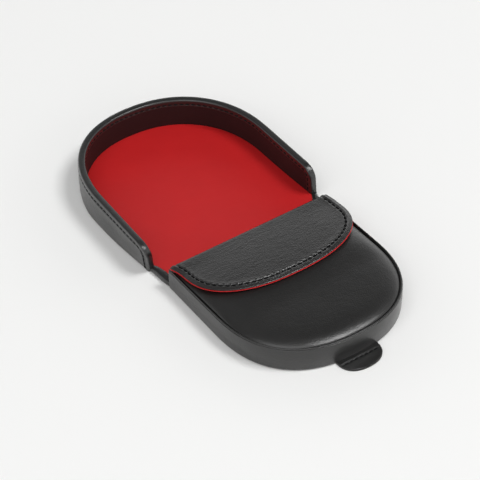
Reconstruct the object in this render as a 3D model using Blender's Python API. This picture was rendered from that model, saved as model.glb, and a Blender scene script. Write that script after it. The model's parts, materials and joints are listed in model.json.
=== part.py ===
"""A horseshoe coin purse in black leather with a red lining, lying open.

The padded pouch stands at -Y with its flap folded over it and its pull tab at the toe. The leather
spine joins it to the tray at +Y, which folds over the pouch to close the purse.
All lengths are in metres, and +Z is up. Heights are counted from the surface the purse lies on.
"""

import math

import bmesh
import bpy

# Thickness of each material
LEATHER = 0.0009
TOP_LEATHER = 0.0007
SPINE_LEATHER = 0.0008
FLAP_LEATHER = 0.0007
TAB_LEATHER = 0.00055
BOARD = 0.0005
WALL_BOARD = 0.0009
TOP_BOARD = 0.0005
LINING = 0.0005
FLAP_LINING = 0.00035
THREAD = 0.00036

# Clearances
GLUE_LINE = 0.00015
RUNNING_GAP = 0.0003
THREAD_GAP = 0.00005
NEST_GAP = 0.00035
RIM_GAP = 0.0006
TOE_GAP = 0.0039
CUT_OVERRUN = 0.002

# Pouch
BODY_WIDTH = 0.0778
BODY_LENGTH = 0.0732
BODY_SIDE = 0.034
MOUTH_HEIGHT = 0.009
TOE_HEIGHT = 0.0111
BAND_ROUND = 0.0004
BEAD = 0.0011
BEAD_INSET = 0.0008
PADDING_AT_MOUTH = 0.0003
PADDING_RISE = 0.0024
PADDING_RUN = 0.045
TOE_FALL_SHARE = 0.35
SHOULDER_REACH = 0.004
SHOULDER_FOOT = 0.00035
CROWN_REACH = 0.012

# Flap
FLAP_DEPTH = 0.035
FLAP_SIDE = 0.011
FLAP_SIDE_INSET = 0.0004
FLAP_SEAM_INSET = 0.0027

# Pull tab
TAB_WIDTH = 0.021
TAB_REACH = 0.0085
TAB_ROOT = 0.004
TAB_SEAM_INSET = 0.0016

# Spine and tray
TRAY_SIDE = 0.035
END_ROUND = 0.009
RIM_DEPTH = 0.0011
RIM_ROUND = 0.00035
WALL_SEAM_INSET = 0.0025
TURNED_EDGE = 0.003
SPINE_OVERHANG = 0.0004
SPINE_LIFT = 0.0001

# How far each crease of the spine bends as the tray comes to rest on the pouch
CREASE_SWING = math.radians(88)

# Shape of the round ends: 2 is an ellipse, and more is squarer
BODY_SQUARENESS = 2.37
TRAY_SQUARENESS = 2.2
FLAP_SQUARENESS = 2.2
TAB_SQUARENESS = 2.4

# How finely the shapes are cut
PLAN_SAMPLES = 240
SIDE_STEPS = 2
CURVE_STEPS = 34
ROUND_STEPS = 4
FLAP_STEPS = 14
TAB_STEPS = 10
BEAD_SIDES = 8
LAST_ROW_SHARE = 0.96

# Heights and thicknesses that follow
FLOOR_HEIGHT = LEATHER + GLUE_LINE + BOARD + GLUE_LINE + LINING
POUCH_WALL = LEATHER + GLUE_LINE + WALL_BOARD + GLUE_LINE + LINING
TRAY_WALL = LEATHER + GLUE_LINE + WALL_BOARD + GLUE_LINE + LEATHER
FLAP_THICKNESS = FLAP_LEATHER + GLUE_LINE + FLAP_LINING
SEAM_PROUD = THREAD_GAP + THREAD
TAB_TOP = TAB_LEATHER + GLUE_LINE + TAB_LEATHER
PANEL_SEAT = -GLUE_LINE - TOP_BOARD - GLUE_LINE
TOP_AT_MOUTH = PADDING_AT_MOUTH + GLUE_LINE + TOP_LEATHER
MOUTH_SETBACK = RUNNING_GAP + FLAP_THICKNESS + RUNNING_GAP


def band_top(y):
    """The height of the pouch's side band, which rises from the mouth to the toe."""
    return MOUTH_HEIGHT - (TOE_HEIGHT - MOUTH_HEIGHT) * y / BODY_LENGTH


def padded_rise(y):
    """How far the padded top stands above the side band along the pouch's middle."""
    run = min(-y / PADDING_RUN, 1)
    fall = max((-y - PADDING_RUN) / (BODY_LENGTH - PADDING_RUN), 0)
    return TOP_AT_MOUTH + PADDING_RISE * (math.sin(math.pi / 2 * run) - TOE_FALL_SHARE * fall**2)


def flap_underside(y):
    """The height of the flap's lining, which lies on the padded top."""
    return band_top(y) + padded_rise(y) + RUNNING_GAP


# The flap folds at the top of the mouth and swings at its foot
FOLD_UNDERSIDE = flap_underside(0)
FLAP_FOOT = FLOOR_HEIGHT + RUNNING_GAP

# The spine is long enough for the closed tray to clear the flap, both at its fold and at its tip
CLOSED_LEAN = math.tan(math.pi - 2 * CREASE_SWING)
CLOSED_AT_FOLD = FOLD_UNDERSIDE + FLAP_THICKNESS + NEST_GAP
SEAM_AT_TIP = flap_underside(-FLAP_DEPTH) + FLAP_THICKNESS + SEAM_PROUD
CLOSED_AT_TIP = SEAM_AT_TIP + NEST_GAP - FLAP_DEPTH * CLOSED_LEAN
CREASE_CLOSED = max(CLOSED_AT_FOLD, CLOSED_AT_TIP)
SPINE_LENGTH = (CREASE_CLOSED - FLOOR_HEIGHT) / math.sin(CREASE_SWING)

# The closed tray's rim stops short of the surface, and its wall goes round the pouch
TRAY_HEIGHT = FLOOR_HEIGHT + CREASE_CLOSED + END_ROUND * CLOSED_LEAN - RIM_GAP
TRAY_WIDTH = BODY_WIDTH + 2 * (TRAY_WALL + SEAM_PROUD + RUNNING_GAP)
TRAY_LENGTH = BODY_LENGTH + TOE_GAP + TRAY_WALL + SEAM_PROUD
TRAY_START = SPINE_LENGTH

# The purse is centred between the tab's tip and the seam round the tray
FRONT_REACH = BODY_LENGTH + TAB_REACH
BACK_REACH = TRAY_START + RUNNING_GAP + TRAY_LENGTH + SEAM_PROUD
CENTRING = (FRONT_REACH - BACK_REACH) / 2


def paint(name, colour, roughness):
    """A plain material in one colour."""
    material = bpy.data.materials.new(name)
    material.use_nodes = True
    shader = material.node_tree.nodes["Principled BSDF"]
    shader.inputs["Base Color"].default_value = (*colour, 1)
    shader.inputs["Roughness"].default_value = roughness
    shader.inputs["Metallic"].default_value = 0
    return material


def carrier(name, y, z, parent):
    """An empty on a crease, which carries what swings about that crease."""
    empty = bpy.data.objects.new(name, None)
    bpy.context.scene.collection.objects.link(empty)
    empty["home"] = (0, y, z)
    empty.location = (0, y, z)
    if parent:
        empty.parent = parent
        empty.location = (0, y - parent["home"][1], z - parent["home"][2])
    return empty


def settle(thing, owner, material):
    """Gives an object its material and hangs it on its carrier."""
    thing.data.materials.append(material)
    bpy.context.scene.collection.objects.link(thing)
    thing.parent = owner
    return thing


def solid(name, faces_of, owner, material):
    """An object whose faces the given function adds, moved to stand from its carrier."""
    home = owner["home"]
    mesh = bmesh.new()
    faces_of(mesh)
    for vertex in mesh.verts:
        vertex.co.x -= home[0]
        vertex.co.y -= home[1]
        vertex.co.z -= home[2]
    bmesh.ops.recalc_face_normals(mesh, faces=mesh.faces)
    data = bpy.data.meshes.new(name)
    mesh.to_mesh(data)
    mesh.free()
    data.shade_smooth()
    data.set_sharp_from_angle(angle=math.radians(40))
    return settle(bpy.data.objects.new(name, data), owner, material)


def bar(name, sections, owner, material):
    """A solid skinned through closed sections, with a flat end at each side."""

    def faces_of(mesh):
        rings = [[mesh.verts.new(point) for point in section] for section in sections]
        for before, after in zip(rings, rings[1:]):
            for k in range(len(before)):
                mesh.faces.new((before[k], before[k - 1], after[k - 1], after[k]))
        mesh.faces.new(rings[0])
        mesh.faces.new(rings[-1])

    return solid(name, faces_of, owner, material)


def ladder(mesh, line):
    """Faces across a line of vertices that runs out along one side and back along the other."""
    last = len(line) - 1
    for k in range(len(line) // 2):
        rung = [line[k], line[k + 1], line[last - k - 1], line[last - k]]
        corners = [vertex for n, vertex in enumerate(rung) if vertex not in rung[:n]]
        if len(corners) > 2:
            mesh.faces.new(corners)


def panel(name, profiles, owner, material):
    """A panel skinned round its edge. Each profile runs from the top's middle, over the edge, to the
    underside's middle, and the first and last profiles lie on its straight side."""

    def faces_of(mesh):
        rows = [[mesh.verts.new(point) for point in profile] for profile in profiles]
        for before, after in zip(rows, rows[1:]):
            for k in range(1, len(before)):
                mesh.faces.new((before[k], before[k - 1], after[k - 1], after[k]))
        ladder(mesh, [row[0] for row in rows])
        ladder(mesh, [row[-1] for row in rows])
        mesh.faces.new(rows[0] + rows[-1][::-1])

    return solid(name, faces_of, owner, material)


def thread(name, points, owner, material):
    """A strand of thread along the points."""
    home = owner["home"]
    data = bpy.data.curves.new(name, "CURVE")
    data.dimensions = "3D"
    data.bevel_depth = THREAD / 2
    data.bevel_resolution = 0
    data.use_fill_caps = True
    spline = data.splines.new("POLY")
    spline.points.add(len(points) - 1)
    for place, (x, y, z) in zip(spline.points, points):
        place.co = (x - home[0], y - home[1], z - home[2], 1)
    return settle(bpy.data.objects.new(name, data), owner, material)


class Track:
    """The plan line round a horseshoe: from its straight side's right end, round the toe, to the left.

    A place is given as a length along the line and an inset from it. way is 1 where the toe lies at
    +Y and -1 where it lies at -Y.
    """

    def __init__(self, width, length, side, squareness, start, way):
        half = width / 2
        self.side, self.start, self.way = side, start, way
        self.points = [(half, 0)]
        for k in range(PLAN_SAMPLES + 1):
            angle = math.pi * k / PLAN_SAMPLES
            x = abs(math.cos(angle)) ** (2 / squareness)
            y = abs(math.sin(angle)) ** (2 / squareness)
            self.points.append((math.copysign(half * x, math.cos(angle)), side + (length - side) * y))
        self.points.append((-half, 0))
        self.lengths = [0]
        for here, there in zip(self.points, self.points[1:]):
            self.lengths.append(self.lengths[-1] + math.dist(here, there))
        self.reach = self.lengths[-1]

    def slope(self, k):
        """The unit inward direction at one of the line's own points."""
        before = self.points[max(k - 1, 0)]
        after = self.points[min(k + 1, len(self.points) - 1)]
        if k <= 1:
            return (-1, 0)
        if k >= len(self.points) - 2:
            return (1, 0)
        across, along = after[0] - before[0], after[1] - before[1]
        size = math.hypot(across, along)
        return (-along / size, across / size)

    def at(self, along, inset, height):
        """The point at a length along the line, an inset from it and a height."""
        along = min(max(along, 0), self.reach)
        k = 1
        while k < len(self.lengths) - 1 and self.lengths[k] < along:
            k += 1
        share = (along - self.lengths[k - 1]) / (self.lengths[k] - self.lengths[k - 1])
        blend = [a + share * (b - a) for a, b in zip(self.slope(k - 1), self.slope(k))]
        place = [a + share * (b - a) for a, b in zip(self.points[k - 1], self.points[k])]
        size = math.hypot(*blend)
        x = place[0] + inset * blend[0] / size
        y = place[1] + inset * blend[1] / size
        return (x, self.start + self.way * y, height)

    def stops(self, setback):
        """Lengths along the line for the sections: few on the straight sides, more on the bend."""
        side = [setback + (self.side - setback) * k / SIDE_STEPS for k in range(SIDE_STEPS)]
        bend = self.reach - 2 * self.side
        curve = [self.side + bend * k / CURVE_STEPS for k in range(CURVE_STEPS + 1)]
        return side + curve + [self.reach - along for along in reversed(side)]


def plate(name, track, setback, inset, low, high, owner, material):
    """A flat panel inset from a track."""
    stops = track.stops(setback)
    profiles = [[track.at(along, inset, z) for z in (high, low)] for along in stops]
    return panel(name, profiles, owner, material)


def base(prefix, lining_name, track, setback, owner, looks):
    """The three layers of a floor: leather, board and lining."""
    board_low = LEATHER + GLUE_LINE
    lining_low = board_low + BOARD + GLUE_LINE
    board_inset = LEATHER + GLUE_LINE
    lining_inset = board_inset + WALL_BOARD + GLUE_LINE
    leather = plate(prefix + "_base_leather", track, setback, board_inset, 0, LEATHER,
                    owner, looks["black"])
    board = plate(prefix + "_base_board", track, setback, board_inset, board_low, board_low + BOARD,
                  owner, looks["board"])
    plate(lining_name, track, setback, lining_inset, lining_low, FLOOR_HEIGHT, owner, looks["red"])
    return leather, board


def raised(track, along, inset, height):
    """A point whose height is counted from the top of the pouch's side band."""
    x, y, _ = track.at(along, inset, 0)
    return (x, y, band_top(y) + height)


def padded(track, along, inset, drop, share):
    """A point at a share of the padded top's rise, less the drop of the layers above it."""
    x, y, _ = track.at(along, inset, 0)
    return (x, y, band_top(y) + (padded_rise(y) - drop) * share)


def pouch_side(name, track, outer, inner, low, owner, material):
    """One layer of the pouch's side wall, up to the underside of the top panel's board."""
    sections = []
    for along in track.stops(MOUTH_SETBACK):
        foot = [track.at(along, inner, low), track.at(along, outer, low)]
        top = [raised(track, along, outer, PANEL_SEAT), raised(track, along, inner, PANEL_SEAT)]
        sections.append(foot + top)
    return bar(name, sections, owner, material)


def pouch_band(track, owner, material):
    """The leather band round the pouch's side, with rounded edges."""
    sections = []
    for along in track.stops(MOUTH_SETBACK):
        foot = [
            track.at(along, LEATHER, 0),
            track.at(along, BAND_ROUND, 0),
            track.at(along, 0, BAND_ROUND),
        ]
        top = [
            raised(track, along, 0, -BAND_ROUND),
            raised(track, along, BAND_ROUND, 0),
            raised(track, along, LEATHER, 0),
        ]
        sections.append(foot + top)
    return bar("pouch_side_leather", sections, owner, material)


def pouch_bead(track, owner, material):
    """The rolled leather bead between the side band and the padded top."""
    middle = GLUE_LINE + BEAD / 2
    sections = []
    for along in track.stops(MOUTH_SETBACK):
        ring = []
        for k in range(BEAD_SIDES):
            angle = math.tau * k / BEAD_SIDES
            inset = BEAD_INSET + BEAD / 2 * math.cos(angle)
            ring.append(raised(track, along, inset, middle + BEAD / 2 * math.sin(angle)))
        sections.append(ring)
    return bar("top_panel_bead", sections, owner, material)


def shoulder_line(edge, reach):
    """Insets and shares of the rise round a padded edge, from its flat top out to its foot."""
    line = [(edge + reach + CROWN_REACH, 1)]
    for k in range(ROUND_STEPS, 0, -1):
        angle = math.pi / 2 * k / ROUND_STEPS
        line.append((edge + reach * (1 - math.cos(angle)), math.sin(angle)))
    return line


def top_panel_leather(track, owner, material):
    """The padded top's leather, with a rounded shoulder inside the bead."""
    edge = BEAD_INSET + BEAD / 2 + GLUE_LINE
    over = shoulder_line(edge, SHOULDER_REACH)
    under = shoulder_line(edge + TOP_LEATHER, SHOULDER_REACH - TOP_LEATHER)
    profiles = []
    for along in track.stops(MOUTH_SETBACK):
        profile = [padded(track, along, inset, 0, share) for inset, share in over]
        profile.append(raised(track, along, edge, SHOULDER_FOOT))
        profile.append(raised(track, along, edge, 0))
        profile.append(raised(track, along, edge + TOP_LEATHER, 0))
        profile += [padded(track, along, inset, TOP_LEATHER, share) for inset, share in under[::-1]]
        profiles.append(profile)
    return panel("top_panel_leather", profiles, owner, material)


def top_panel_padding(track, owner, material):
    """The foam between the top panel's board and its leather."""
    edge = BEAD_INSET + BEAD / 2 + GLUE_LINE + TOP_LEATHER
    drop = TOP_LEATHER + GLUE_LINE
    line = shoulder_line(edge, SHOULDER_REACH - TOP_LEATHER)[: ROUND_STEPS - 1]
    profiles = []
    for along in track.stops(MOUTH_SETBACK):
        profile = [padded(track, along, inset, drop, share) for inset, share in line]
        profile.append(raised(track, along, line[-1][0], 0))
        profiles.append(profile)
    return panel("top_panel_padding", profiles, owner, material)


def top_panel_layer(name, track, inset, low, thickness, owner, material):
    """A flat layer of the top panel, which slopes with the side band."""
    profiles = []
    for along in track.stops(MOUTH_SETBACK):
        profiles.append([raised(track, along, inset, low + thickness), raised(track, along, inset, low)])
    return panel(name, profiles, owner, material)


def row_places(depth, side, squareness, half, steps):
    """Distances from the root and half widths of a round-ended piece, row by row."""
    places = [(0, half)]
    for k in range(steps + 1):
        angle = math.pi / 2 * LAST_ROW_SHARE * k / steps
        distance = side + (depth - side) * math.sin(angle) ** (2 / squareness)
        places.append((distance, half * math.cos(angle) ** (2 / squareness)))
    return places


def flap_layer(name, low, thickness, owner, material):
    """One layer of the flap that lies on the padded top."""
    half = BODY_WIDTH / 2 - FLAP_SIDE_INSET
    start = RUNNING_GAP + FLAP_THICKNESS + GLUE_LINE
    sections = []
    for distance, wide in row_places(FLAP_DEPTH - start, FLAP_SIDE, FLAP_SQUARENESS, half, FLAP_STEPS):
        depth = start + distance
        z = flap_underside(-depth) + low
        sections.append([
            (-wide, -depth, z),
            (wide, -depth, z),
            (wide, -depth, z + thickness),
            (-wide, -depth, z + thickness),
        ])
    return bar(name, sections, owner, material)


def flap_front_layer(name, y, thickness, owner, material):
    """One layer of the flap's front, which stands before the mouth."""
    half = BODY_WIDTH / 2 - FLAP_SIDE_INSET
    high = FOLD_UNDERSIDE - GLUE_LINE
    sections = []
    for x in (-half, half):
        sections.append([
            (x, y, FLAP_FOOT),
            (x, y - thickness, FLAP_FOOT),
            (x, y - thickness, high),
            (x, y, high),
        ])
    return bar(name, sections, owner, material)


def flap_seam(owner, material):
    """The thread that runs inside the flap's round edge."""
    start = RUNNING_GAP + FLAP_THICKNESS + GLUE_LINE
    half = BODY_WIDTH / 2 - FLAP_SIDE_INSET - FLAP_SEAM_INSET
    depth = FLAP_DEPTH - start - FLAP_SEAM_INSET
    places = row_places(depth, FLAP_SIDE, FLAP_SQUARENESS, half, FLAP_STEPS)[1:]
    one_side = []
    for distance, wide in places:
        z = flap_underside(-start - distance) + FLAP_THICKNESS + THREAD_GAP + THREAD / 2
        one_side.append((wide, -start - distance, z))
    other_side = [(-x, y, z) for x, y, z in reversed(one_side)]
    return thread("flap_stitching", one_side + other_side, owner, material)


def tab_layer(name, low, owner, material):
    """One leather of the pull tab, from its root in the pouch's base to its tip."""
    root = BODY_LENGTH - TAB_ROOT
    places = row_places(TAB_ROOT + TAB_REACH, TAB_ROOT, TAB_SQUARENESS, TAB_WIDTH / 2, TAB_STEPS)
    sections = []
    for distance, wide in places:
        y = -root - distance
        sections.append([
            (-wide, y, low),
            (wide, y, low),
            (wide, y, low + TAB_LEATHER),
            (-wide, y, low + TAB_LEATHER),
        ])
    return bar(name, sections, owner, material)


def tab_seam(owner, material):
    """The thread round the pull tab."""
    half = TAB_WIDTH / 2 - TAB_SEAM_INSET
    places = row_places(TAB_REACH - TAB_SEAM_INSET, RUNNING_GAP, TAB_SQUARENESS, half, TAB_STEPS)
    z = TAB_TOP + THREAD_GAP + THREAD / 2
    one_side = [(wide, -BODY_LENGTH - distance, z) for distance, wide in places[1:]]
    other_side = [(-x, y, z) for x, y, z in reversed(one_side)]
    return thread("pull_tab_stitching", one_side + other_side, owner, material)


def cut_tab_slot(pieces, owner):
    """Opens the slot in the pouch's foot that the pull tab's root sits in."""
    half = TAB_WIDTH / 2 + RUNNING_GAP
    inner = -(BODY_LENGTH - TAB_ROOT - RUNNING_GAP)
    outer = -(BODY_LENGTH + CUT_OVERRUN)
    high = LEATHER + GLUE_LINE + BOARD + GLUE_LINE / 2
    sections = []
    for x in (-half, half):
        sections.append([
            (x, inner, -CUT_OVERRUN),
            (x, outer, -CUT_OVERRUN),
            (x, outer, high),
            (x, inner, high),
        ])
    cutter = bar("tab_slot", sections, owner, paint("cutter", (1, 1, 1), 1))
    cutter.hide_render = True
    cutter.display_type = "WIRE"
    for piece in pieces:
        cut = piece.modifiers.new("tab slot", "BOOLEAN")
        cut.operation = "DIFFERENCE"
        cut.object = cutter


def spine_strip(name, half, low, high, owner, material):
    """A flat strip of the spine, between its two creases."""
    sections = []
    for y in (RUNNING_GAP, SPINE_LENGTH - RUNNING_GAP):
        sections.append([(-half, y, low), (half, y, low), (half, y, high), (-half, y, high)])
    return bar(name, sections, owner, material)


def spine_edge(name, side, owner, material):
    """The leather turned round one end of the spine and over the edge of its lining."""
    outer = BODY_WIDTH / 2 + SPINE_OVERHANG
    inner = outer - LINING
    reach = outer - TURNED_EDGE
    under = FLOOR_HEIGHT - LINING
    sections = []
    for y in (RUNNING_GAP, SPINE_LENGTH - RUNNING_GAP):
        shape = [
            (inner, SPINE_LIFT),
            (outer, SPINE_LIFT),
            (outer, FLOOR_HEIGHT),
            (reach, FLOOR_HEIGHT),
            (reach, under),
            (inner, under),
        ]
        sections.append([(side * x, y, z) for x, z in shape])
    return bar(name, sections, owner, material)


def rim_line(track, depth):
    """The tray wall's edge at a depth below it, as lengths along the track, heights and the
    direction into the wall: up one end, round its corner, along the rim and down the other end."""
    foot = FLOOR_HEIGHT + GLUE_LINE
    turn = TRAY_HEIGHT - END_ROUND
    line = [(depth, foot, (1, 0))]
    for k in range(ROUND_STEPS + 1):
        angle = math.pi / 2 * k / ROUND_STEPS
        into = (math.cos(angle), -math.sin(angle))
        radius = END_ROUND - depth
        line.append((END_ROUND - radius * into[0], turn - radius * into[1], into))
    high = TRAY_HEIGHT - depth
    middle = [along for along in track.stops(0) if END_ROUND < along < track.reach / 2 - RUNNING_GAP]
    line += [(along, high, (0, -1)) for along in middle]
    back = [(track.reach - along, z, (-into[0], into[1])) for along, z, into in reversed(line)]
    return line + [(track.reach / 2, high, (0, -1))] + back


def tray_wall_layer(name, track, outer, inner, low, owner, material):
    """One layer of the tray's wall, up to the underside of its rim and round its ends."""
    edge = RIM_DEPTH + GLUE_LINE
    sections = []
    for along, high, _ in rim_line(track, edge)[1:-1]:
        sections.append([
            track.at(along, outer, low),
            track.at(along, inner, low),
            track.at(along, inner, high),
            track.at(along, outer, high),
        ])
    return bar(name, sections, owner, material)


def tray_rim(track, owner, material):
    """The leather turned over the top of the tray's wall and down its two ends."""
    shape = [
        (0, RIM_DEPTH),
        (0, RIM_ROUND),
        (RIM_ROUND, 0),
        (TRAY_WALL - RIM_ROUND, 0),
        (TRAY_WALL, RIM_ROUND),
        (TRAY_WALL, RIM_DEPTH),
    ]
    sections = []
    for along, high, into in rim_line(track, 0):
        ring = [track.at(along + into[0] * d, inset, high + into[1] * d) for inset, d in shape]
        sections.append(ring)
    return bar("tray_rim_binding", sections, owner, material)


def tray_seam(name, track, inset, owner, material):
    """A thread that follows the tray's rim on one face of its wall."""
    line = rim_line(track, WALL_SEAM_INSET)
    points = [track.at(along, inset, high) for along, high, _ in line]
    return thread(name, points, owner, material)


def build_pouch(owner, looks):
    """The pouch: its base, side wall, padded top and pull tab."""
    track = Track(BODY_WIDTH, BODY_LENGTH, BODY_SIDE, BODY_SQUARENESS, 0, -1)
    board_inset = LEATHER + GLUE_LINE
    lining_inset = board_inset + WALL_BOARD + GLUE_LINE
    leather, board = base("pouch", "pouch_base_lining", track, RUNNING_GAP, owner, looks)
    band = pouch_band(track, owner, looks["black"])
    board_low = FLOOR_HEIGHT - LINING
    pouch_side("pouch_side_board", track, board_inset, board_inset + WALL_BOARD, board_low,
               owner, looks["board"])
    pouch_side("pouch_side_lining", track, lining_inset, POUCH_WALL, FLOOR_HEIGHT + GLUE_LINE,
               owner, looks["red"])
    pouch_bead(track, owner, looks["black"])
    top_panel_layer("top_panel_lining", track, POUCH_WALL + GLUE_LINE, PANEL_SEAT - LINING, LINING,
                    owner, looks["red"])
    top_panel_layer("top_panel_board", track, board_inset, -GLUE_LINE - TOP_BOARD, TOP_BOARD,
                    owner, looks["board"])
    top_panel_padding(track, owner, looks["foam"])
    top_panel_leather(track, owner, looks["black"])
    cut_tab_slot([band, leather, board], owner)
    tab_layer("pull_tab_lower", 0, owner, looks["black"])
    tab_layer("pull_tab_upper", TAB_LEATHER + GLUE_LINE, owner, looks["black"])
    tab_seam(owner, looks["thread"])


def build_flap(front, fold, looks):
    """The flap: its front before the mouth, and the part that lies on the padded top."""
    lining_y = -RUNNING_GAP - FLAP_LEATHER - GLUE_LINE
    flap_front_layer("flap_front_leather", -RUNNING_GAP, FLAP_LEATHER, front, looks["black"])
    flap_front_layer("flap_front_lining", lining_y, FLAP_LINING, front, looks["red"])
    flap_layer("flap_lining", 0, FLAP_LINING, fold, looks["red"])
    flap_layer("flap_leather", FLAP_LINING + GLUE_LINE, FLAP_LEATHER, fold, looks["black"])
    flap_seam(fold, looks["thread"])


def build_spine(owner, looks):
    """The spine: the strip of leather that bends at its two creases."""
    half = BODY_WIDTH / 2 + SPINE_OVERHANG - LINING - GLUE_LINE
    lining_half = BODY_WIDTH / 2 + SPINE_OVERHANG - TURNED_EDGE - GLUE_LINE
    tape_low = SPINE_LIFT + SPINE_LEATHER + GLUE_LINE
    lining_low = FLOOR_HEIGHT - LINING
    spine_strip("spine_leather", half, SPINE_LIFT, SPINE_LIFT + SPINE_LEATHER, owner, looks["black"])
    spine_strip("spine_tape", half, tape_low, lining_low - GLUE_LINE, owner, looks["board"])
    spine_strip("spine_lining", lining_half, lining_low, FLOOR_HEIGHT, owner, looks["red"])
    spine_edge("spine_edge_right", 1, owner, looks["black"])
    spine_edge("spine_edge_left", -1, owner, looks["black"])


def build_tray(owner, looks):
    """The tray: its base, its wall in three layers, the rim over it and the two seams."""
    track = Track(TRAY_WIDTH, TRAY_LENGTH, TRAY_SIDE, TRAY_SQUARENESS, TRAY_START + RUNNING_GAP, 1)
    board_inset = LEATHER + GLUE_LINE
    lining_inset = board_inset + WALL_BOARD + GLUE_LINE
    base("tray", "tray_floor_lining", track, 0, owner, looks)
    tray_wall_layer("tray_wall_leather", track, 0, LEATHER, 0, owner, looks["black"])
    tray_wall_layer("tray_wall_board", track, board_inset, board_inset + WALL_BOARD,
                    FLOOR_HEIGHT - LINING, owner, looks["board"])
    tray_wall_layer("tray_wall_lining", track, lining_inset, TRAY_WALL, FLOOR_HEIGHT + GLUE_LINE,
                    owner, looks["dark lining"])
    tray_rim(track, owner, looks["black"])
    proud = THREAD_GAP + THREAD / 2
    tray_seam("tray_outer_stitching", track, -proud, owner, looks["thread"])
    tray_seam("tray_inner_stitching", track, TRAY_WALL + proud, owner, looks["thread"])


def main():
    for thing in list(bpy.data.objects):
        bpy.data.objects.remove(thing, do_unlink=True)
    looks = {
        "black": paint("black leather", (0.022, 0.022, 0.024), 0.42),
        "red": paint("red lining leather", (0.42, 0.021, 0.022), 0.5),
        "dark lining": paint("dark wall lining", (0.016, 0.009, 0.009), 0.5),
        "board": paint("grey board", (0.16, 0.14, 0.12), 0.9),
        "foam": paint("foam padding", (0.6, 0.57, 0.5), 0.95),
        "thread": paint("black thread", (0.012, 0.012, 0.013), 0.6),
    }
    pouch = carrier("pouch", 0, 0, None)
    pouch.location.y = CENTRING
    spine = carrier("spine_crease", 0, FLOOR_HEIGHT, pouch)
    tray = carrier("tray_crease", TRAY_START, FLOOR_HEIGHT, spine)
    front = carrier("flap_foot", -RUNNING_GAP, FLAP_FOOT, pouch)
    fold = carrier("flap_fold", -RUNNING_GAP - FLAP_THICKNESS, FOLD_UNDERSIDE, front)
    build_pouch(pouch, looks)
    build_flap(front, fold, looks)
    build_spine(spine, looks)
    build_tray(tray, looks)
    bpy.context.view_layer.update()


main()
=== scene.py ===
# %% [markdown]
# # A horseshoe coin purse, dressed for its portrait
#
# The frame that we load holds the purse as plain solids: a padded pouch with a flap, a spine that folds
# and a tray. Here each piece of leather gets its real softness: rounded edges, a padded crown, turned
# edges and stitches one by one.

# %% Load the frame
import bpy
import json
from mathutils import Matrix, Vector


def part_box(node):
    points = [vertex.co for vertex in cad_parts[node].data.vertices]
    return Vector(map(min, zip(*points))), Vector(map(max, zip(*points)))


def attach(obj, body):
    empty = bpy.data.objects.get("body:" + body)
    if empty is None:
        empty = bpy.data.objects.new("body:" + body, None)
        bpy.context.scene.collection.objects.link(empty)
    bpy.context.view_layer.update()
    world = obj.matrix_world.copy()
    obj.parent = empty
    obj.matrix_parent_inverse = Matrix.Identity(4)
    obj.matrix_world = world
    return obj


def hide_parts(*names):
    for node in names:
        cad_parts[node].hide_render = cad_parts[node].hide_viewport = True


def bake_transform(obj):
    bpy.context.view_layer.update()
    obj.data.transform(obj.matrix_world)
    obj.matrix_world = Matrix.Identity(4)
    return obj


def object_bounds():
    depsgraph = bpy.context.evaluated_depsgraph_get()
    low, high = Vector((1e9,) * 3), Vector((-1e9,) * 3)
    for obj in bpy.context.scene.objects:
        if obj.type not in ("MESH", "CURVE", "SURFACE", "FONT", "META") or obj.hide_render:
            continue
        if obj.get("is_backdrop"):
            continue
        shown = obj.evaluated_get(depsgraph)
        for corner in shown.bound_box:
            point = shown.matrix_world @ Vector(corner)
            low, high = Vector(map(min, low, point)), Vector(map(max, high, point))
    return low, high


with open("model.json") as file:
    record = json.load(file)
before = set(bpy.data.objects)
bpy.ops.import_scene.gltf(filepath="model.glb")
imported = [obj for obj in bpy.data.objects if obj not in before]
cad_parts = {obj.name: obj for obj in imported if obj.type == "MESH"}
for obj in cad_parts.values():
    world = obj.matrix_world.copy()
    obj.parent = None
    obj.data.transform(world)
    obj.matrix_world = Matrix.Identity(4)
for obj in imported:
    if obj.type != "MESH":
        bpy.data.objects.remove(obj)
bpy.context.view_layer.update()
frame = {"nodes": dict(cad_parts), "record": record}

import json
import math

import bmesh
import bpy
import numpy as np
from mathutils import Matrix, Vector, noise

print("solids in the frame:", len(frame["nodes"]))

# %% [markdown]
# ## Sizes
#
# Small leather goods are measured in tenths of a millimetre, so every size here is a number of
# millimetres times MM. What the frame already knows, such as where the two creases of the spine lie,
# is read from it and not written again.

# %% Places that the frame gives
MM = 0.001


def in_mm(*sizes):
    """A list of sizes, given in millimetres."""
    return [size * MM for size in sizes]


joints = {joint["name"]: joint for joint in frame["record"]["behaviour"]["joints"]}
MOUTH_Y, FLOOR_Z = joints["spine_crease"]["pos_m"][1:]
TRAY_Y = joints["tray_crease"]["pos_m"][1]
FOLD_Z = joints["flap_fold"]["pos_m"][2]
FOOT_Y, FOOT_Z = joints["flap_foot_crease"]["pos_m"][1:]
GAP = 0.3 * MM

wall_low, wall_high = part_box("tray_rim_binding")
TRAY_HALF = wall_high.x
TRAY_START = wall_low.y
TRAY_LENGTH = wall_high.y - TRAY_START
TRAY_HEIGHT = wall_high.z
BODY_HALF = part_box("pouch_side_leather")[1].x
BODY_LENGTH = MOUTH_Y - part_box("pouch_side_leather")[0].y
TAB_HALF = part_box("pull_tab_upper")[1].x
TAB_REACH = MOUTH_Y - BODY_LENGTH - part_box("pull_tab_upper")[0].y
print("tray height in mm:", round(TRAY_HEIGHT / MM, 2))
print("pouch length in mm:", round(BODY_LENGTH / MM, 2))

# %% Sizes of the leatherwork
LEATHER, LINING = in_mm(0.9, 0.5)
TRAY_SIDE, TRAY_WALL, END_ROUND = in_mm(35, 3.0, 5.6)
BODY_SIDE, MOUTH_HEIGHT, TOE_HEIGHT = in_mm(34, 9.0, 10.8)
TRAY_SQUARENESS, BODY_SQUARENESS = 2.2, 2.37

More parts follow.
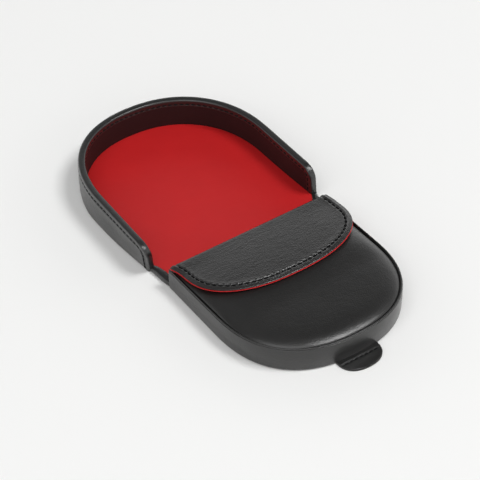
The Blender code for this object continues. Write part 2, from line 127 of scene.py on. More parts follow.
# %% [markdown]
# ## The plan line
#
# Seen from above, the pouch and the tray are horseshoes: straight at the sides and rounded at the toe.
# A superellipse gives that toe with one number for how square it is. The class below walks along such
# a line, so that a wall, a bead or a row of stitches can all be laid along the same path.

# %% A line round a horseshoe
LINE_SAMPLES = 1600
TANGENT_REACH = 0.4 * MM


class PlanLine:
    """The line round a horseshoe, from the right end of its straight side round the toe to the left.

    A place on it is a distance along it and an inset from it. It gives x and the depth, which is the
    distance from the straight side.
    """

    def __init__(self, half, length, side, squareness):
        angle = np.linspace(0, math.pi, LINE_SAMPLES)
        across = np.abs(np.cos(angle)) ** (2 / squareness) * np.sign(np.cos(angle))
        out = np.abs(np.sin(angle)) ** (2 / squareness)
        self.x = np.concatenate([[half], half * across, [-half]])
        self.depth = np.concatenate([[0], side + (length - side) * out, [0]])
        steps = np.hypot(np.diff(self.x), np.diff(self.depth))
        self.along = np.concatenate([[0], np.cumsum(steps)])
        self.reach = float(self.along[-1])
        self.half, self.length, self.side, self.squareness = half, length, side, squareness

    def point(self, along):
        x = np.interp(along, self.along, self.x)
        return np.array([x, np.interp(along, self.along, self.depth)])

    def at(self, along, inset=0):
        along = min(max(along, 0), self.reach)
        before = self.point(max(along - TANGENT_REACH, 0))
        after = self.point(min(along + TANGENT_REACH, self.reach))
        way = (after - before) / np.hypot(*(after - before))
        return self.point(along) + inset * np.array([-way[1], way[0]])

    def stops(self, step, setback=0):
        """Distances along the line, about a step apart."""
        count = round((self.reach - 2 * setback) / step)
        return list(np.linspace(setback, self.reach - setback, count + 1))


tray_line = PlanLine(TRAY_HALF, TRAY_LENGTH, TRAY_SIDE, TRAY_SQUARENESS)
pouch_line = PlanLine(BODY_HALF, BODY_LENGTH, BODY_SIDE, BODY_SQUARENESS)
print("round the tray in mm:", round(tray_line.reach / MM, 1))
print("round the pouch in mm:", round(pouch_line.reach / MM, 1))

# %% [markdown]
# ## From flat leather to a piece
#
# A maker cuts each piece flat and bends it into place. We do the same: create_grid makes the flat
# piece, and a small function says where each of its crossings goes. remove_doubles joins edges that
# meet, holes_fill closes the ends, and Solidify and Bevel give a sheet its thickness and soft edges.
# The last helper gives a piece its finish, and names the body it rides on and the solids it replaces.

# %% Helpers that make and place a piece
WELD = 0.01 * MM
SMOOTH_ANGLE = math.radians(38)
EDGE_ANGLE = math.radians(50)


def grid(columns, rows, place):
    """A sheet of faces, each of whose corners goes where place(column, row) says."""
    mesh = bmesh.new()
    bmesh.ops.create_grid(mesh, x_segments=columns, y_segments=rows, size=1)
    for vertex in mesh.verts:
        column = round((vertex.co.x + 1) / 2 * columns)
        row = round((vertex.co.y + 1) / 2 * rows)
        vertex.co = place(column, row)
    bmesh.ops.remove_doubles(mesh, verts=mesh.verts, dist=WELD)
    return mesh


def make(name, mesh, material):
    """Turns the bmesh into an object with smooth shading and one material."""
    bmesh.ops.recalc_face_normals(mesh, faces=mesh.faces)
    data = bpy.data.meshes.new(name)
    mesh.to_mesh(data)
    mesh.free()
    data.shade_smooth()
    data.set_sharp_from_angle(angle=SMOOTH_ANGLE)
    data.materials.append(material)
    piece = bpy.data.objects.new(name, data)
    bpy.context.scene.collection.objects.link(piece)
    return piece


def face_up(piece):
    """Turns an open sheet over where its faces look down."""
    total = sum(face.normal.z * face.area for face in piece.data.polygons)
    if total < 0:
        piece.data.flip_normals()
    return piece


def thicken(piece, thickness, edge=0):
    """Gives a sheet its thickness below its face, and rounds its cut edges."""
    wall = piece.modifiers.new("thickness", "SOLIDIFY")
    wall.thickness = thickness
    wall.offset = -1
    wall.use_even_offset = True
    if edge:
        soft = piece.modifiers.new("soft edge", "BEVEL")
        soft.width = edge
        soft.segments = 2
        soft.limit_method = "ANGLE"
        soft.angle_limit = EDGE_ANGLE
    return piece


def dressed(name, mesh, body, slot, *nodes):
    """Makes a piece in its slot's finish, and says what it rides on and which solids it stands for."""
    piece = make(name, mesh, FINISHES[slot])
    print(name, "faces:", len(piece.data.polygons))
    if body:
        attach(piece, body)
    if nodes:
        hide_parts(*nodes)
    return piece


# %% A closed outline with rounded corners, and a bar swept along a path
ROUND_STEPS = 3


def rounded(corners):
    """Rounds the corners of a closed outline, each of which is given as (x, y, radius)."""
    outline = []
    for k, (x, y, radius) in enumerate(corners):
        corner = Vector((x, y))
        if not radius:
            outline.append(corner)
            continue
        before = (Vector(corners[k - 1][:2]) - corner).normalized()
        after = (Vector(corners[(k + 1) % len(corners)][:2]) - corner).normalized()
        half = before.angle(after) / 2
        centre = corner + (before + after).normalized() * (radius / math.sin(half))
        start = corner + before * (radius / math.tan(half)) - centre
        end = corner + after * (radius / math.tan(half)) - centre
        for n in range(ROUND_STEPS + 1):
            outline.append(centre + start.lerp(end, n / ROUND_STEPS).normalized() * radius)
    return outline


def swept(stations, outline, place):
    """A closed bar through the stations. place(station, outline point) puts each corner."""
    count = len(outline)
    mesh = grid(len(stations) - 1, count, lambda i, j: place(stations[i], outline[j % count]))
    open_edges = [edge for edge in mesh.edges if edge.is_boundary]
    bmesh.ops.holes_fill(mesh, edges=open_edges, sides=0)
    return mesh


# %% A sheet that fills a horseshoe
AXIS_STEPS = 10


def filled(line, stops, insets, place):
    """Rows of faces that follow the line inwards, and then run on to the middle.

    place(x, depth, inset, number of the stop) puts each corner.
    """
    last = len(insets) - 1

    def corner(i, j):
        x, depth = line.at(stops[i], insets[min(j, last)])
        if j > last:
            share = (j - last) / AXIS_STEPS
            x = x * (1 - share)
            depth = depth + (min(depth, line.side) - depth) * share
        return place(x, depth, insets[min(j, last)] + max(j - last, 0) * MM, i)

    return grid(len(stops) - 1, last + AXIS_STEPS, corner)


# %% [markdown]
# ## Seams
#
# A lockstitch seam shows a row of short, fat dashes. Each one pulls the leather down into a small pit,
# and between two of them the leather stands up again, which is what makes a seam look sewn and not
# drawn. So one object holds both: where the stitches lie, and how strongly they pull at each place.

# %% A seam
THREAD, PITCH = in_mm(0.7, 2.6)
DASH_SHARE = 0.8
STITCH_SIDES, STITCH_RINGS = 8, 6


class Seam:
    """A row of stitches along a path of points."""

    def __init__(self, points, pitch):
        self.points = [Vector(point) for point in points]
        steps = [(there - here).length for here, there in zip(self.points, self.points[1:])]
        self.runs = [0, *np.cumsum(steps)]
        self.count = round(self.runs[-1] / pitch)
        self.step = self.runs[-1] / self.count

    def pull(self, number):
        """How strongly the thread pulls at a point: 1 under a stitch's middle, 0 between two."""
        return 0.5 - 0.5 * math.cos(math.tau * self.runs[number] / self.step)

    def middles(self, outward):
        """The place, the way forward and the way off the leather of each stitch."""
        for k in range(self.count):
            middle = (k + 0.5) * self.step
            n = min(int(np.searchsorted(self.runs, middle)), len(self.points) - 1)
            share = (middle - self.runs[n - 1]) / (self.runs[n] - self.runs[n - 1])
            here, there = self.points[n - 1], self.points[n]
            up = Vector(outward[n - 1]).lerp(Vector(outward[n]), share).normalized()
            yield here.lerp(there, share), (there - here).normalized(), up


def stitches(name, seam, outward, body, *nodes):
    """One stretched sphere for each stitch of a seam."""
    mesh = bmesh.new()
    for centre, forward, up in seam.middles(outward):
        side = up.cross(forward).normalized()
        turn = Matrix((forward, side, up)).transposed().to_4x4()
        scale = Matrix.Diagonal((seam.step * DASH_SHARE / 2, THREAD / 2, THREAD / 2, 1))
        bmesh.ops.create_uvsphere(mesh, u_segments=STITCH_SIDES, v_segments=STITCH_RINGS, radius=1,
                                  matrix=Matrix.Translation(centre) @ turn @ scale)
    print(name, "stitches:", seam.count)
    dressed(name, mesh, body, "thread", *nodes)


# %% [markdown]
# ## Finishes
#
# Every material is made of nodes, and every pattern is sized from the real thing: a texture's scale is 1
# over the size of its cells in metres. One function turns a hex colour into the linear values that a
# shader wants, one adds a node with its settings and links, and one mixes two colours by a pattern.

# %% Colour and node helpers
def linear(colour):
    """An sRGB hex colour as the linear values that a shader takes."""
    parts = [int(colour[k:k + 2], 16) / 255 for k in (1, 3, 5)]
    return [c / 12.92 if c <= 0.04045 else ((c + 0.055) / 1.055) ** 2.4 for c in parts] + [1]


def add(tree, kind, settings=None, links=None):
    """Adds a node, sets its inputs and properties by name, and links inputs from (node, output)."""
    node = tree.nodes.new(kind)
    for key, value in (settings or {}).items():
        if isinstance(key, int) or key in node.inputs:
            node.inputs[key].default_value = value
        else:
            setattr(node, key, value)
    for key, (source, output) in (links or {}).items():
        tree.links.new(source.outputs[output], node.inputs[key])
    return node


def new_material(name):
    """An empty material with a Principled shader on its output."""
    material = bpy.data.materials.new(name)
    material.use_nodes = True
    tree = material.node_tree
    return material, tree, tree.nodes["Principled BSDF"]


def tint(tree, shader, light, dark, pattern):
    """Lets the shader's colour go from light to dark with a noise."""
    mix = add(tree, "ShaderNodeMix", {"data_type": "RGBA", 6: linear(light), 7: linear(dark)},
              {0: (pattern, "Fac")})
    tree.links.new(mix.outputs[2], shader.inputs["Base Color"])


# %% [markdown]
# ### Calf leather
#
# The outside is chrome-tanned calf with a semi-matt pigment finish. Its pores are about 0.3 mm apart,
# too fine to show at this distance, so they are drawn at 0.55 mm. Bending the hide leaves faint creases
# that run across it, drawn here as a noise that is drawn out along x, and a slow noise lets the surface
# swell and sink a little as leather over board does. Together they break up the gloss of the clear film.
# The flap is bent each time the purse is used, so its creases are twice as deep.

# %% Leather
CREASE_SIZE, CLOUD_SIZE = in_mm(1.6, 14)
CREASE_STRETCH = (0.45, 1, 1)
PORE_WEIGHT = 0.55
GLOSS_SPREAD = (-0.05, 0.06)
SWELL_STRENGTH, SWELL_DEEP = 0.5, 0.3 * MM
GRAIN_DEEP, FLAP_GRAIN_DEEP = in_mm(0.08, 0.17)
FILM_ROUGHNESS = 0.26


def leather(name, light, dark, roughness, grain, bump, shine=0.3, film=0.0, deep=GRAIN_DEEP):
    """Grained leather between two close colours, under a clear film of a given weight."""
    material, tree, shader = new_material(name)
    place = {"Vector": (add(tree, "ShaderNodeTexCoord"), "Object")}
    drawn_out = add(tree, "ShaderNodeMapping", {"Scale": CREASE_STRETCH}, place)
    pores = add(tree, "ShaderNodeTexVoronoi", {"Scale": 1 / grain, "Randomness": 0.9}, place)
    creases = add(tree, "ShaderNodeTexNoise", {"Scale": 1 / CREASE_SIZE, "Detail": 4.0, "Roughness": 0.6},
                  {"Vector": (drawn_out, "Vector")})
    cloud = add(tree, "ShaderNodeTexNoise", {"Scale": 1 / CLOUD_SIZE, "Detail": 3.0}, place)
    tint(tree, shader, light, dark, cloud)
    fine = add(tree, "ShaderNodeMath", {"operation": "MULTIPLY", 1: PORE_WEIGHT}, {0: (pores, "Distance")})
    height = add(tree, "ShaderNodeMath", {"operation": "ADD"}, {0: (fine, "Value"), 1: (creases, "Fac")})
    low, high = (roughness + spread for spread in GLOSS_SPREAD)
    gloss = add(tree, "ShaderNodeMapRange", {"To Min": low, "To Max": high}, {"Value": (creases, "Fac")})
    swell = add(tree, "ShaderNodeBump", {"Strength": SWELL_STRENGTH, "Distance": SWELL_DEEP},
                {"Height": (cloud, "Fac")})
    relief = add(tree, "ShaderNodeBump", {"Strength": bump, "Distance": deep},
                 {"Height": (height, "Value"), "Normal": (swell, "Normal")})
    tree.links.new(gloss.outputs["Result"], shader.inputs["Roughness"])
    tree.links.new(relief.outputs["Normal"], shader.inputs["Normal"])
    shader.inputs["Specular IOR Level"].default_value = shine
    shader.inputs["Coat Weight"].default_value = film
    shader.inputs["Coat Roughness"].default_value = FILM_ROUGHNESS
    tree.links.new(relief.outputs["Normal"], shader.inputs["Coat Normal"])
    return material


CALF = ("#181716", "#121212", 0.4, 0.55 * MM, 0.75, 0.5, 0.55)
creased_calf = leather("black pigmented calf, creased by the fold", *CALF, FLAP_GRAIN_DEEP)
FINISHES = {
    "black_leather": leather("black pigmented calf", *CALF),
    "red_lining": leather("red lining leather", "#C21518", "#B61215", 0.55, 0.6 * MM, 0.3, 0.42),
    "dark_lining": leather("dark wall lining leather", "#2A0F10", "#1F0A0B", 0.6, 0.6 * MM, 0.3),
}

# %% [markdown]
# ### Thread, board and foam
#
# The thread is bonded polyester, dull and black. The stiffeners are bonded leather fibre, flecked and
# dull, and the foam is hidden unless the purse is taken apart.

# %% Thread, board and foam
FLECK_STRENGTH, FLECK_DEEP = 0.4, 0.05 * MM


def plain(name, light, dark, roughness, fleck):
    """A dull material mottled between two colours, with flecks of a given size."""
    material, tree, shader = new_material(name)
    place = {"Vector": (add(tree, "ShaderNodeTexCoord"), "Object")}
    flecks = add(tree, "ShaderNodeTexNoise", {"Scale": 1 / fleck, "Detail": 5.0}, place)
    tint(tree, shader, light, dark, flecks)
    relief = add(tree, "ShaderNodeBump", {"Strength": FLECK_STRENGTH, "Distance": FLECK_DEEP},
                 {"Height": (flecks, "Fac")})
    tree.links.new(relief.outputs["Normal"], shader.inputs["Normal"])
    shader.inputs["Roughness"].default_value = roughness
    shader.inputs["Specular IOR Level"].default_value = 0.2
    return material


FINISHES["board"] = plain("bonded leather fibre board", "#7A6F66", "#5E554E", 0.9, 0.8 * MM)
FINISHES["foam"] = plain("polyether foam", "#D2CBBE", "#BDB5A7", 0.95, 0.9 * MM)
FINISHES["thread"] = plain("bonded polyester thread", "#0E0E0F", "#060607", 0.75, 0.3 * MM)
for subpart in frame["record"]["subparts"]:
    solid = frame["nodes"][subpart["node"]]
    solid.data.materials.clear()
    solid.data.materials.append(FINISHES[subpart["material_slot"]])
print("finishes:", ", ".join(sorted(FINISHES)))

# %% [markdown]
# ## The tray's wall
#
# The wall is three layers thick: calf outside, a fibre board and a dark lining leather inside. At the
# top the calf is turned over the edge and down the inside, and a seam runs 2.5 mm below the edge. At
# the spine the wall ends in a quarter round. We lay everything along one path that climbs the end,
# goes round its corner and runs along the rim, so that edge, seam and skin all agree. Use has pulled
# the two ends askew: near the spine both feet stand a little to the right and both rims to the left,
# and the left end leans forward over the spine.

# %% The path of the rim
SEAM_DEPTH, FOOT_CLEAR, RIM_STEP = in_mm(2.5, 0.15, 0.5)
CORNER_STEPS, END_STEPS = 16, 10
FOOT_REACH, RIM_REACH, FORWARD_REACH = in_mm(33, 47, 20)
FOOT_ASKEW = {-1: 2.2 * MM, 1: 1.1 * MM}
RIM_ASKEW = {-1: 1.2 * MM, 1: 0.4 * MM}
RIM_FORWARD = {-1: 3.7 * MM, 1: 0.2 * MM}


def ease(share):
    """Goes from 0 to 1 with a soft start and a soft end."""
    share = min(max(share, 0), 1)
    return share * share * (3 - 2 * share)


def rim_path(depth):
    """Stations along the wall's edge at a depth below it: distance along, height, and the way in."""
    turn = TRAY_HEIGHT - END_ROUND
    radius = END_ROUND - depth
    climb = (turn - FOOT_CLEAR) / END_STEPS
    path = [(depth, FOOT_CLEAR + climb * k, (1, 0)) for k in range(END_STEPS)]
    for k in range(CORNER_STEPS + 1):
        angle = math.pi / 2 * k / CORNER_STEPS
        into = (math.cos(angle), -math.sin(angle))
        path.append((END_ROUND - radius * into[0], turn - radius * into[1], into))
    middle = tray_line.reach / 2
    count = round((middle - END_ROUND) / RIM_STEP)
    for k in range(1, count):
        path.append((END_ROUND + (middle - END_ROUND) * k / count, TRAY_HEIGHT - depth, (0, -1)))
    back = [(tray_line.reach - a, z, (-into[0], into[1])) for a, z, into in reversed(path)]
    return path + [(middle, TRAY_HEIGHT - depth, (0, -1))] + back


def askew(side, away, height=0):
    """How far the wall is pushed along x at a height, a distance away from one end of the spine."""
    foot = FOOT_ASKEW[side] * max(1 - max(away, 0) / FOOT_REACH, 0) ** 2
    rim = RIM_ASKEW[side] * max(1 - max(away, 0) / RIM_REACH, 0)
    return foot - (foot + rim) * height / TRAY_HEIGHT


def lean(along, height):
    """How far the wall stands in at a height."""
    back = tray_line.reach - along
    return askew(-1, back, height) if back < along else -askew(1, along, height)


def on_tray(along, inset, height):
    """A point of the tray's wall, from a distance along its line, an inset and a height."""
    x, depth = tray_line.at(along, inset + lean(along, height))
    away = min(along, tray_line.reach - along)
    forward = RIM_FORWARD[-1 if x < 0 else 1] * max(1 - away / FORWARD_REACH, 0) ** 2
    return (x, TRAY_START + depth - forward * height / TRAY_HEIGHT, height)


tray_seam = Seam([on_tray(along, 0, height) for along, height, _ in rim_path(SEAM_DEPTH)], PITCH)
tray_pulls = [tray_seam.pull(k) for k in range(len(tray_seam.points))]
print("stations round the rim:", len(tray_pulls))

# %% The rim, turned over the wall
RIM_CORNER, TURNED_INSIDE = in_mm(0.55, 3.4)
GROOVE, GROOVE_HALF = in_mm(0.6, 0.45)
GROOVE_KEPT, INSIDE_SHARE = 0.2, 0.5
PUFF, PUFF_AWAY, PUFF_HALF = in_mm(0.16, 0.95, 0.35)
SEAM_SIDE = in_mm(1.5, 1.2, 0.95, 0.7, 0.45, 0.22, 0.02)
rim_section = rounded([
    *[(0, SEAM_DEPTH - away, 0) for away in reversed(SEAM_SIDE)],
    (0, 0.08 * MM, RIM_CORNER),
    (0.8 * MM, -0.02 * MM, 0),
    (TRAY_WALL / 2, 0.05 * MM, 0),
    (TRAY_WALL, 0.16 * MM, 0.7 * MM),
    *[(TRAY_WALL, SEAM_DEPTH - away, 0) for away in SEAM_SIDE],
    *[(TRAY_WALL, SEAM_DEPTH + away, 0) for away in reversed(SEAM_SIDE[3:])],
    (TRAY_WALL - 0.05 * MM, TURNED_INSIDE, 0.15 * MM),
    (TRAY_WALL - LEATHER, TURNED_INSIDE, 0),
    (TRAY_WALL - LEATHER, LEATHER, 0),
    (LEATHER, LEATHER, 0),
    (LEATHER, SEAM_DEPTH - 0.02 * MM, 0),
])


def groove(away, pull):
    """How deep the seam lies at a distance from it, between two stitches or under one."""
    kept = GROOVE_KEPT + (1 - GROOVE_KEPT) * pull
    return GROOVE * kept * math.exp(-(away / GROOVE_HALF) ** 2)


def puffed(away, pull):
    """The same, with the leather puffed up beside the seam."""
    return groove(away, pull) - PUFF * math.exp(-((abs(away) - PUFF_AWAY) / PUFF_HALF) ** 2)


def on_rim(station, corner):
    """Where a corner of the rim's section goes: its y runs from the edge into the wall."""
    (along, height, into), pull = station
    away = corner.y - SEAM_DEPTH
    press = puffed(away, pull) if corner.x < TRAY_WALL / 2 else -INSIDE_SHARE * groove(away, pull)
    return on_tray(along + into[0] * corner.y, corner.x + press, height + into[1] * corner.y)


rim_mesh = swept(list(zip(rim_path(0), tray_pulls)), rim_section, on_rim)
dressed("tray_rim", rim_mesh, "tray", "black_leather", "tray_rim_binding")

# %% The wall's skins
FOOT_ROUND, BULGE, SOFTNESS = in_mm(1.1, 0.2, 0.16)
SKIN_ROWS, ROW_CROWDING = 14, 1.4
SOFTNESS_SCALE = Vector((90, 90, 260))


def softness(place):
    """Slow swells of the leather over the board, drawn out along the wall."""
    return SOFTNESS * noise.noise(Vector(place) * SOFTNESS_SCALE)


def wall_skin(name, low, outline, slot, node):
    """A skin of the wall between the seam's path and its foot, as a closed bar.

    The outline's y is a height above the foot, or below the seam where it is negative.
    """
    stations = list(zip(rim_path(SEAM_DEPTH + low), tray_pulls))[END_STEPS:-END_STEPS]

    def place(station, corner):
        (along, height, _), pull = station
        z = height + corner.y if corner.y <= 0 else min(corner.y, height - SEAM_SIDE[0])
        inset = corner.x
        if inset < LEATHER / 2:
            inset += puffed(height - z, pull) - softness(on_tray(along, 0, z))
        return on_tray(along, inset, z)

    dressed(name, swept(stations, outline, place), "tray", slot, node)


def calf_outline():
    """From the foot up the calf's outer face to the seam, and back down its inner face."""
    tall = TRAY_HEIGHT - SEAM_DEPTH
    outline = []
    for k in range(SKIN_ROWS):
        height = (tall - SEAM_SIDE[0]) * (k / (SKIN_ROWS - 1)) ** ROW_CROWDING
        inset = FOOT_ROUND * (1 - math.sqrt(1 - max(1 - height / FOOT_ROUND, 0) ** 2))
        outline.append(Vector((inset - BULGE * math.sin(math.pi * height / tall), max(height, WELD))))
    outline += [Vector((0, -away)) for away in (*SEAM_SIDE[1:], 0)]
    return outline + [Vector((LEATHER, 0)), Vector((LEATHER, WELD))]


wall_skin("tray_wall", 0.02 * MM, calf_outline(), "black_leather", "tray_wall_leather")
INNER_FACE, INNER_BACK = TRAY_WALL - 0.08 * MM, TRAY_WALL - LEATHER
INNER_LOW, INNER_MIDDLE = FLOOR_Z - 0.3 * MM, 5 * MM
inner_skin = rounded([(INNER_FACE, INNER_LOW, 0), (INNER_FACE, INNER_MIDDLE, 0), (INNER_FACE, 0, 0),
                      (INNER_BACK, 0, 0), (INNER_BACK, INNER_LOW, 0)])
wall_skin("tray_wall_inside", TURNED_INSIDE - SEAM_DEPTH - 0.1 * MM, inner_skin, "dark_lining",
          "tray_wall_lining")

# %% The board inside the wall
GLUE = 0.05 * MM
BOARD_CLEAR = 1.05 * MM
BOARD_OUT, BOARD_IN = LEATHER + GLUE, TRAY_WALL - LEATHER - GLUE
board_outline = rounded([(BOARD_OUT, BOARD_CLEAR, 0), (BOARD_OUT, 0, 0), (BOARD_IN, 0, 0),
                         (BOARD_IN, BOARD_CLEAR, 0)])
wall_skin("tray_wall_core", BOARD_CLEAR - SEAM_DEPTH, board_outline, "board", "tray_wall_board")

# %% The two rows of stitches along the wall
THREAD_OUT, THREAD_IN = 0.14 * MM, TRAY_WALL - 0.18 * MM


def wall_stitches(name, inset, sign, node):
    """The seam below the rim, as it shows on one face of the wall."""
    stations = rim_path(SEAM_DEPTH)
    seam = Seam([on_tray(along, inset, height) for along, height, _ in stations], tray_seam.step)
    outward = []
    for along, height, _ in stations:
        here, there = on_tray(along, 0, height), on_tray(along, MM, height)
        outward.append([sign * (a - b) for a, b in zip(here, there)])
    stitches(name, seam, outward, "tray", node)


wall_stitches("tray_stitches_outside", THREAD_OUT, 1, "tray_outer_stitching")
wall_stitches("tray_stitches_inside", THREAD_IN, -1, "tray_inner_stitching")

# %% [markdown]
# ## The base and the spine
#
# One long sheet of calf makes the whole underside, and one of red leather lines the floor: both run
# from the pouch over the spine to the tray. Here each is made of two halves, one from the pouch and one
# from the tray, which meet in the middle of the spine. A row of faces lies straight across the spine
# wherever it bends.

# %% Sheets that cross a crease
SPINE_MIDDLE = (MOUTH_Y + TRAY_Y) / 2
CREASE_REACH, SHEET_STEP, INNER_ROW, END_ROW = in_mm(2.6, 0.8, 4, 0.06)
ROLL, ROLL_SHARES = 1.2 * MM, (0, 0.15, 0.4, 0.7, 1)
WIDENING_FROM, WIDENING_RUN = in_mm(0.5, 2)
EDGE_RUN = in_mm(-2.0, 0, 2.8, 5.6, 8.8, 11.3, 13.6)
EDGE_INNER = in_mm(37.0, 36.4, 36.2, 36.8, 38.3, 39.6, 40.6)
EDGE_OUTER = in_mm(38.3, 38.8, 39.6, 40.5, 41.6, 42.2, 42.3)
EDGE_TOP = in_mm(2.0, 2.55, 2.75, 2.8, 2.75, 2.5, 1.9)
CREASES = {"pouch": (MOUTH_Y, "pouch", "spine"), "tray": (TRAY_Y, "spine", "tray")}


def over_crease(piece, crease):
    """Bakes the piece's placement into its mesh. The crease is looked up, but nothing is bent over it."""
    fold, before, after = CREASES[crease]
    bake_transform(piece)


def spine_shift(x, y):
    """How far a point of the base is pushed along x, more towards the two ends of the spine."""
    side = -1 if x < 0 else 1
    fade = ease((y - MOUTH_Y) / (TRAY_START - MOUTH_Y))
    return fade * askew(side, y - TRAY_START) * (x / TRAY_HALF) ** 2


def base_sheet(name, crease, edge, top, thickness, dip, spine_edge, room, slot, nodes):
    """A sheet that fills the pouch's or the tray's plan and runs on to the middle of the spine.

    In the spine it is as wide as the table spine_edge says, less the room. A narrow row of faces at
    its straight end keeps the shading flat there, so that the two sheets look like one.
    """
    plan, start, way = (tray_line, TRAY_START, 1) if crease == "tray" else (pouch_line, MOUTH_Y, -1)
    half = plan.half
    tail = abs(SPINE_MIDDLE - start)
    line = PlanLine(half, plan.length + tail, plan.side + tail, plan.squareness)
    insets = [edge + share * ROLL for share in ROLL_SHARES] + [edge + ROLL + INNER_ROW]

    def place(x, depth, inset, _):
        depth -= tail
        y = start + way * depth
        spine_half = np.interp(y - MOUTH_Y, EDGE_RUN, spine_edge) - room
        widening = ease((depth + WIDENING_FROM) / WIDENING_RUN)
        x *= (spine_half + (half - edge - spine_half) * widening) / (half - edge)
        rise = max(1 - (inset - edge) / ROLL, 0)
        return (x + spine_shift(x, y), y, top - dip * rise**2)

    stops = [0, *line.stops(SHEET_STEP, END_ROW), line.reach]
    sheet = face_up(dressed(name, filled(line, stops, insets, place), None, slot, *nodes))
    thicken(sheet, thickness)
    over_crease(sheet, crease)


for crease, edge, linings, leathers in (
        ("tray", TRAY_WALL - 0.15 * MM, ["tray_floor_lining", "spine_lining"],
         ["tray_base_leather", "spine_leather", "spine_tape"]),
        ("pouch", 2.1 * MM, ["pouch_base_lining"], ["pouch_base_leather"])):
    base_sheet(f"{crease}_floor", crease, edge, FLOOR_Z, LINING, dip=0.1 * MM,
               spine_edge=EDGE_INNER, room=-0.3 * MM, slot="red_lining", nodes=linings)
    base_sheet(f"{crease}_underside", crease, LEATHER, LEATHER, LEATHER, dip=-0.3 * MM,
               spine_edge=EDGE_OUTER, room=1.2 * MM, slot="black_leather", nodes=leathers)

# %% The board under the tray's floor
BOARD, BOARD_GAP, BOARD_ROW = in_mm(0.5, 0.1, 3)


def board_sheet(name, line, step, insets, place, body, node):
    """A board that fills a horseshoe up to the first inset from its line."""
    mesh = filled(line, line.stops(step), insets, place)
    thicken(face_up(dressed(name, mesh, body, "board", node)), BOARD)


def on_floor_board(x, depth, inset, _):
    """Where a point of the tray's board lies, on the leather of the base."""
    y = TRAY_START + depth
    return (x + spine_shift(x, y), y, LEATHER + BOARD_GAP + BOARD)


floor_insets = [LEATHER + BOARD_GAP, LEATHER + BOARD_GAP + BOARD_ROW]
board_sheet("tray_floor_core", tray_line, SHEET_STEP, floor_insets, on_floor_board, "tray",
            "tray_base_board")

# %% [markdown]
# ### The turned edges of the spine
#
# At the spine's two ends the calf is turned up round the edge and glued down over the lining. That
# makes a soft roll, thicker than the lining beside it, which starts under the wall's end and runs to
# the pouch's corner. Its section changes on the way, so each station has its own widths and height.

# %% The turned edges
EDGE_WIDE, EDGE_TALL, EDGE_LOW = in_mm(3.2, 2.5, 0.05)
EDGE_STEPS = 22
edge_section = rounded([
    (0, 0.02 * MM, 0.1 * MM),
    (0, EDGE_TALL - 0.12 * MM, 0.35 * MM),
    (EDGE_WIDE * 0.45, EDGE_TALL, 1.2 * MM),
    (EDGE_WIDE, EDGE_TALL - 0.25 * MM, 1.1 * MM),
    (EDGE_WIDE, 0, 0.8 * MM),
])


def turned_edge(name, side, crease, *nodes):
    """One half of the roll at one end of the spine."""
    far = MOUTH_Y + (EDGE_RUN[0] if crease == "pouch" else EDGE_RUN[-1])
    stations = [far + (SPINE_MIDDLE - far) * k / EDGE_STEPS for k in range(EDGE_STEPS + 1)]

    def place(y, corner):
        inner, outer, top = (np.interp(y - MOUTH_Y, EDGE_RUN, sizes)
                             for sizes in (EDGE_INNER, EDGE_OUTER, EDGE_TOP))
        x = side * (inner + (outer - inner) * corner.x / EDGE_WIDE)
        return (x + spine_shift(x, y), y, EDGE_LOW + (top - EDGE_LOW) * corner.y / EDGE_TALL)

    mesh = swept(stations, edge_section, place)
    over_crease(dressed(name, mesh, None, "black_leather", *nodes), crease)


for side, word in ((1, "right"), (-1, "left")):
    turned_edge(f"spine_edge_{word}_pouch", side, "pouch", f"spine_edge_{word}")
    turned_edge(f"spine_edge_{word}_tray", side, "tray")

# %% [markdown]
# ## The pouch
#
# A band of calf goes round the side. On it sits a thin rolled bead, and inside the bead the padded top
# swells up. Between the three there are two narrow dark grooves, which the eye reads at once. Band and
# bead are bars swept along the plan line, and the top is a sheet that follows the line inwards. The
# stiff boards hide inside. They are dressed too, as the frame's own would show where a shape has sunk.

# %% Heights on the pouch
PADDING_RISE, PADDING_RUN, TOP_AT_MOUTH = in_mm(2.45, 38, 1.15)
DIP_FROM, DIP_RUN = in_mm(28, 18)
DIP_SHARE, DIP_LOST_AT_SIDE, TOE_FALL_SHARE = 0.45, 0.45, 0.16
CROSS_FALL, CROSS_POWER = 1.0 * MM, 2.5


def band_top(depth):
    """The height of the side band, which grows from the mouth to the toe."""
    return MOUTH_HEIGHT + (TOE_HEIGHT - MOUTH_HEIGHT) * depth / BODY_LENGTH


def padded_rise(depth, x=0):
    """How far the padded top stands above the band, before it falls to the sides."""
    run = min(depth / PADDING_RUN, 1)
    fall = max((depth - PADDING_RUN) / (BODY_LENGTH - PADDING_RUN), 0)
    dip = DIP_SHARE * ease((depth - DIP_FROM) / DIP_RUN)
    sunk = TOE_FALL_SHARE * fall**2 + dip * (1 - DIP_LOST_AT_SIDE * (x / BODY_HALF) ** 2)
    return TOP_AT_MOUTH + PADDING_RISE * (math.sin(math.pi / 2 * run) - sunk)


# %% The side band
BAND_THICK, BAND_TALL, BAND_SETBACK, BAND_STEP = in_mm(2.0, 10, 0.5, 0.8)
BAND_LIP, GROOVE_TALL = in_mm(0.95, 0.7)
NOSE_SHARES = (0, 0.06, 0.2, 0.4, 0.65)
band_section = rounded([
    (BAND_THICK, 0, 0),
    (0, 0, 1.0 * MM),
    (-0.06 * MM, 5.5 * MM, 3 * MM),
    (0, BAND_TALL, 0.3 * MM),
    (BAND_LIP, BAND_TALL, 0.1 * MM),
    (BAND_LIP, BAND_TALL - GROOVE_TALL, 0),
    (BAND_THICK, BAND_TALL - GROOVE_TALL, 0),
])


def on_pouch(along, inset, height):
    """A point of the pouch, from a distance along its line, an inset and a height."""
    x, depth = pouch_line.at(along, inset)
    return (x, MOUTH_Y - depth, height)


def nose(along, radius):
    """The share of the full thickness that is left near an end that is rounded to a radius."""
    away = min(along, pouch_line.reach - along) - BAND_SETBACK
    return math.sqrt(1 - max(1 - away / radius, 0) ** 2)


